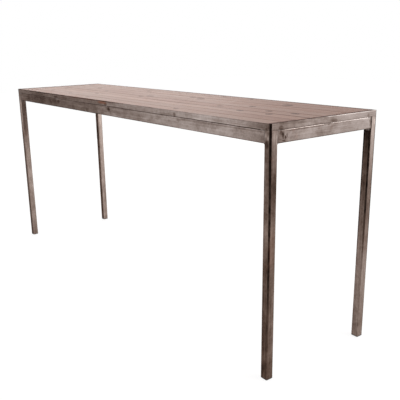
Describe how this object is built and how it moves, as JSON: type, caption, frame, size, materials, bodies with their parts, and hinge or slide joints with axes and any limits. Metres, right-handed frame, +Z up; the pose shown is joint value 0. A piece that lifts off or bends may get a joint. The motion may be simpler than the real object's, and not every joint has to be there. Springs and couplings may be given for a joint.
{
  "type": "communal table",
  "caption": "Long bar-height table: a welded square-tube steel frame with an angle-iron tray of lengthwise wooden boards, on levelling feet.",
  "frame": {"origin": "on the floor under the middle of the table", "axes": "+X along the length, to the right seen from the front; +Y across the table, to the back; +Z up"},
  "size_m": [2.44, 0.61, 1.04],
  "materials": {
    "frame_steel": "satin, mottled brown-grey raw steel under clear coat",
    "weld_steel": "ground weld metal with heat tint",
    "board_wood": "dull pinkish-brown weathered wood with fine grain and knots",
    "zinc_steel": "zinc plated",
    "foot_nylon": "moulded black nylon",
    "sole_rubber": "matt black rubber"
  },
  "bodies": {
    "frame": {"leg_front_left": "frame_steel", "foot_plug_front_left": "foot_nylon", "leg_front_right": "frame_steel", "foot_plug_front_right": "foot_nylon", "leg_back_left": "frame_steel", "foot_plug_back_left": "foot_nylon", "leg_back_right": "frame_steel", "foot_plug_back_right": "foot_nylon", "apron_front": "frame_steel", "top_angle_front": "frame_steel", "apron_back": "frame_steel", "top_angle_back": "frame_steel", "apron_left": "frame_steel", "top_angle_left": "frame_steel", "apron_right": "frame_steel", "top_angle_right": "frame_steel", "bearer_1": "frame_steel", "bearer_2": "frame_steel", "bearer_3": "frame_steel", "bearer_4": "frame_steel", "bearer_5": "frame_steel", "board_1": "board_wood", "board_2": "board_wood", "board_3": "board_wood", "board_4": "board_wood", "board_5": "board_wood", "board_6": "board_wood", "board_7": "board_wood", "board_8": "board_wood", "board_screws": "zinc_steel", "board_washers": "zinc_steel", "foot_nuts": "zinc_steel", "seam_welds": "weld_steel", "leg_joint_welds": "weld_steel", "leg_fillet_welds": "weld_steel", "bearer_welds": "weld_steel"},
    "sole_front_left": {"foot_sole_front_left": "sole_rubber"},
    "glide_front_left": {"foot_glide_front_left": "foot_nylon", "foot_stud_front_left": "zinc_steel"},
    "sole_front_right": {"foot_sole_front_right": "sole_rubber"},
    "glide_front_right": {"foot_glide_front_right": "foot_nylon", "foot_stud_front_right": "zinc_steel"},
    "sole_back_left": {"foot_sole_back_left": "sole_rubber"},
    "glide_back_left": {"foot_glide_back_left": "foot_nylon", "foot_stud_back_left": "zinc_steel"},
    "sole_back_right": {"foot_sole_back_right": "sole_rubber"},
    "glide_back_right": {"foot_glide_back_right": "foot_nylon", "foot_stud_back_right": "zinc_steel"}
  },
  "joints": [
    {"name": "foot_lift_front_left", "type": "slide", "parent": "frame", "child": "sole_front_left", "axis": [0, 0, -1], "range_m": [0, 0.01]},
    {"name": "foot_turn_front_left", "type": "hinge", "parent": "sole_front_left", "child": "glide_front_left", "pos_m": [-1.2025, -0.2875, 0], "axis": [0, 0, -1], "range_deg": [0, 2880]},
    {"name": "foot_lift_front_right", "type": "slide", "parent": "frame", "child": "sole_front_right", "axis": [0, 0, -1], "range_m": [0, 0.01]},
    {"name": "foot_turn_front_right", "type": "hinge", "parent": "sole_front_right", "child": "glide_front_right", "pos_m": [1.2025, -0.2875, 0], "axis": [0, 0, -1], "range_deg": [0, 2880]},
    {"name": "foot_lift_back_left", "type": "slide", "parent": "frame", "child": "sole_back_left", "axis": [0, 0, -1], "range_m": [0, 0.01]},
    {"name": "foot_turn_back_left", "type": "hinge", "parent": "sole_back_left", "child": "glide_back_left", "pos_m": [-1.2025, 0.2875, 0], "axis": [0, 0, -1], "range_deg": [0, 2880]},
    {"name": "foot_lift_back_right", "type": "slide", "parent": "frame", "child": "sole_back_right", "axis": [0, 0, -1], "range_m": [0, 0.01]},
    {"name": "foot_turn_back_right", "type": "hinge", "parent": "sole_back_right", "child": "glide_back_right", "pos_m": [1.2025, 0.2875, 0], "axis": [0, 0, -1], "range_deg": [0, 2880]}
  ],
  "couplings": [
    {"joint": "foot_lift_front_left", "follows": "foot_turn_front_left", "m_per_rad": 0.00019894},
    {"joint": "foot_lift_front_right", "follows": "foot_turn_front_right", "m_per_rad": 0.00019894},
    {"joint": "foot_lift_back_left", "follows": "foot_turn_back_left", "m_per_rad": 0.00019894},
    {"joint": "foot_lift_back_right", "follows": "foot_turn_back_right", "m_per_rad": 0.00019894}
  ]
}
